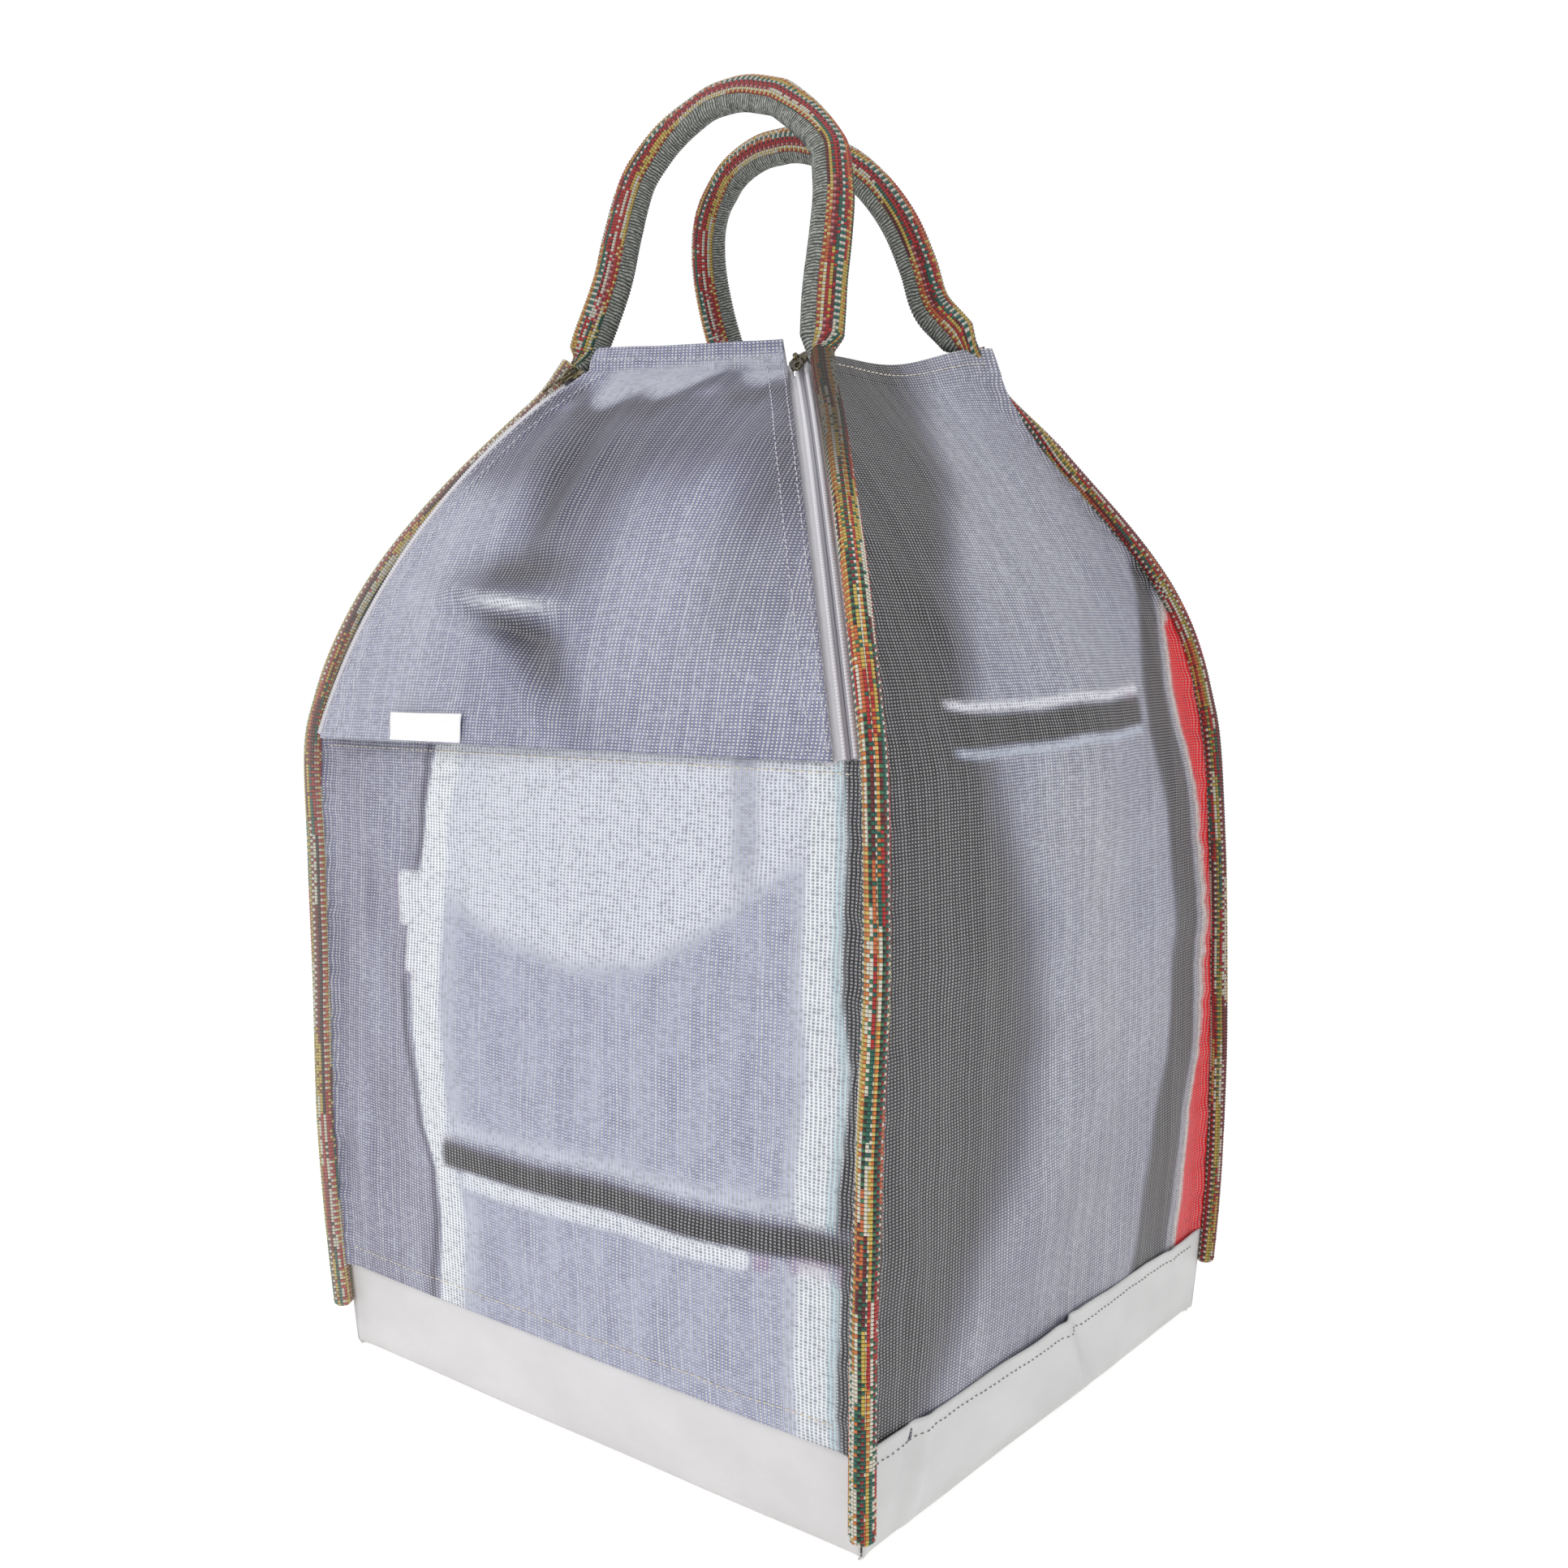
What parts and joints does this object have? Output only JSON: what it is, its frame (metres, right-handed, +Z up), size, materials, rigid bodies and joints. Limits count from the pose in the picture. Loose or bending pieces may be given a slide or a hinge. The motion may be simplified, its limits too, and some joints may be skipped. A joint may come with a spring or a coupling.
{
  "type": "mesh carrier bag",
  "caption": "Tall free-standing carrier bag of printed mesh on a PVC base, with a zipped front flap, webbing-bound corners and loop handles.",
  "frame": {"origin": "centre of the base on the floor", "axes": "+Z up, +X to the right along the front, front face towards -Y"},
  "size_m": [0.3425, 0.3132, 0.6037],
  "materials": {
    "pvc": "light warm grey coated cloth, satin",
    "printed_mesh": "lavender-grey printed open mesh, satin",
    "colour_webbing": "red, orange, yellow, green and cream warp on dark ribs",
    "grey_webbing": "grey ribbed webbing",
    "zip_tape": "light grey woven tape",
    "zip_coil": "grey nylon coil",
    "zip_metal": "antique nickel",
    "label": "blank white satin"
  },
  "bodies": {
    "bag": {"base_floor": "pvc", "front_skirt": "pvc", "right_skirt": "pvc", "back_skirt": "pvc", "left_skirt": "pvc", "front_lower_panel": "printed_mesh", "right_panel": "printed_mesh", "back_panel": "printed_mesh", "left_panel": "printed_mesh", "front_left_binding": "colour_webbing", "front_right_binding": "colour_webbing", "rear_left_binding": "colour_webbing", "rear_right_binding": "colour_webbing", "left_outer_tape": "zip_tape", "right_outer_tape": "zip_tape", "left_outer_coil": "zip_coil", "right_outer_coil": "zip_coil"},
    "flap": {"front_flap": "printed_mesh", "label": "label", "left_inner_tape": "zip_tape", "right_inner_tape": "zip_tape", "left_inner_coil": "zip_coil", "right_inner_coil": "zip_coil"},
    "left_slider": {"left_slider": "zip_metal"},
    "right_slider": {"right_slider": "zip_metal"},
    "left_pull": {"left_pull": "zip_metal"},
    "right_pull": {"right_pull": "zip_metal"},
    "front_handle": {"front_handle_webbing": "colour_webbing", "front_handle_lining": "grey_webbing"},
    "rear_handle": {"rear_handle_webbing": "colour_webbing", "rear_handle_lining": "grey_webbing"}
  },
  "joints": [
    {"name": "front_flap_fold", "type": "hinge", "parent": "bag", "child": "flap", "pos_m": [-0.15826, -0.14955, 0.298], "axis": [0.9997, 0.0258, 0], "range_deg": [0, 140]},
    {"name": "left_slider_run", "type": "hinge", "parent": "bag", "child": "left_slider", "pos_m": [-0.01102, 0.12902, 0.20343], "axis": [0.8435, -0.5188, -0.1393], "range_deg": [0, 29.6]},
    {"name": "right_slider_run", "type": "hinge", "parent": "bag", "child": "right_slider", "pos_m": [-0.01349, 0.07512, 0.21126], "axis": [0.7804, 0.6173, 0.0995], "range_deg": [0, 43.33]},
    {"name": "left_pull_swing", "type": "hinge", "parent": "left_slider", "child": "left_pull", "pos_m": [-0.08173, -0.05744, 0.46969], "axis": [-0.8435, 0.5188, 0.1393], "range_deg": [0, 120]},
    {"name": "right_pull_swing", "type": "hinge", "parent": "right_slider", "child": "right_pull", "pos_m": [0.04517, -0.04369, 0.46391], "axis": [-0.7855, -0.3405, -0.5168], "range_deg": [0, 120]},
    {"name": "front_handle_fold", "type": "hinge", "parent": "bag", "child": "front_handle", "pos_m": [-0.08248, -0.04308, 0.4831], "axis": [-0.9959, 0.0213, 0.0875], "range_deg": [-105, 7]},
    {"name": "rear_handle_fold", "type": "hinge", "parent": "bag", "child": "rear_handle", "pos_m": [-0.09455, 0.08205, 0.4866], "axis": [0.9966, -0.0779, 0.027], "range_deg": [-105, 7]}
  ]
}
